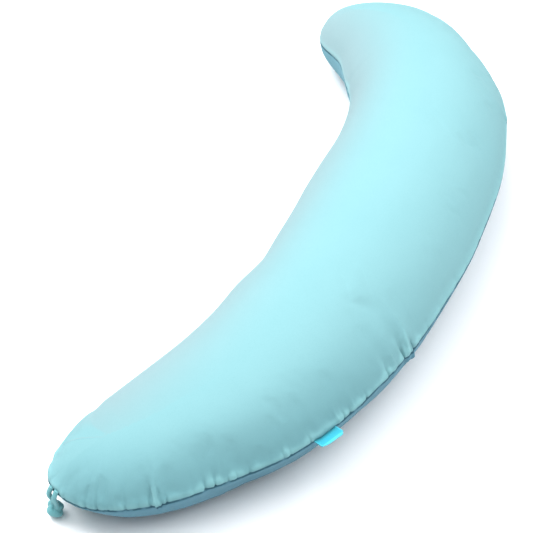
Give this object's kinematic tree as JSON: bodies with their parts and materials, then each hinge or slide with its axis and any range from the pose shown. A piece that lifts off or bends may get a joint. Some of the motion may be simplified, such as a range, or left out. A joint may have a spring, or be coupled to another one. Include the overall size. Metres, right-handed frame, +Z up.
{
  "type": "body pillow",
  "caption": "Long filled pillow bent into a crescent, two jersey panels joined by a seam round the rim, a folded label in the seam and a short knotted tie at one tip.",
  "frame": {"origin": "on the floor, in the middle of the footprint", "axes": "+X along the pillow from the tip with the tie to the other tip, +Y into the hollow of the bend, +Z up"},
  "size_m": [1.1679, 0.4266, 0.212],
  "materials": {
    "aqua_jersey": "fine cotton jersey, soft and matt, with a darker and bluer cloth for the lower panel",
    "cyan_ribbon": "woven ribbon with a slight satin sheen",
    "aqua_cord": "soft round cloth cord, matt"
  },
  "bodies": {
    "root": {"pillow": "aqua_jersey", "label": "cyan_ribbon", "strand_left": "aqua_cord", "strand_right": "aqua_cord", "knot": "aqua_cord"}
  },
  "joints": []
}
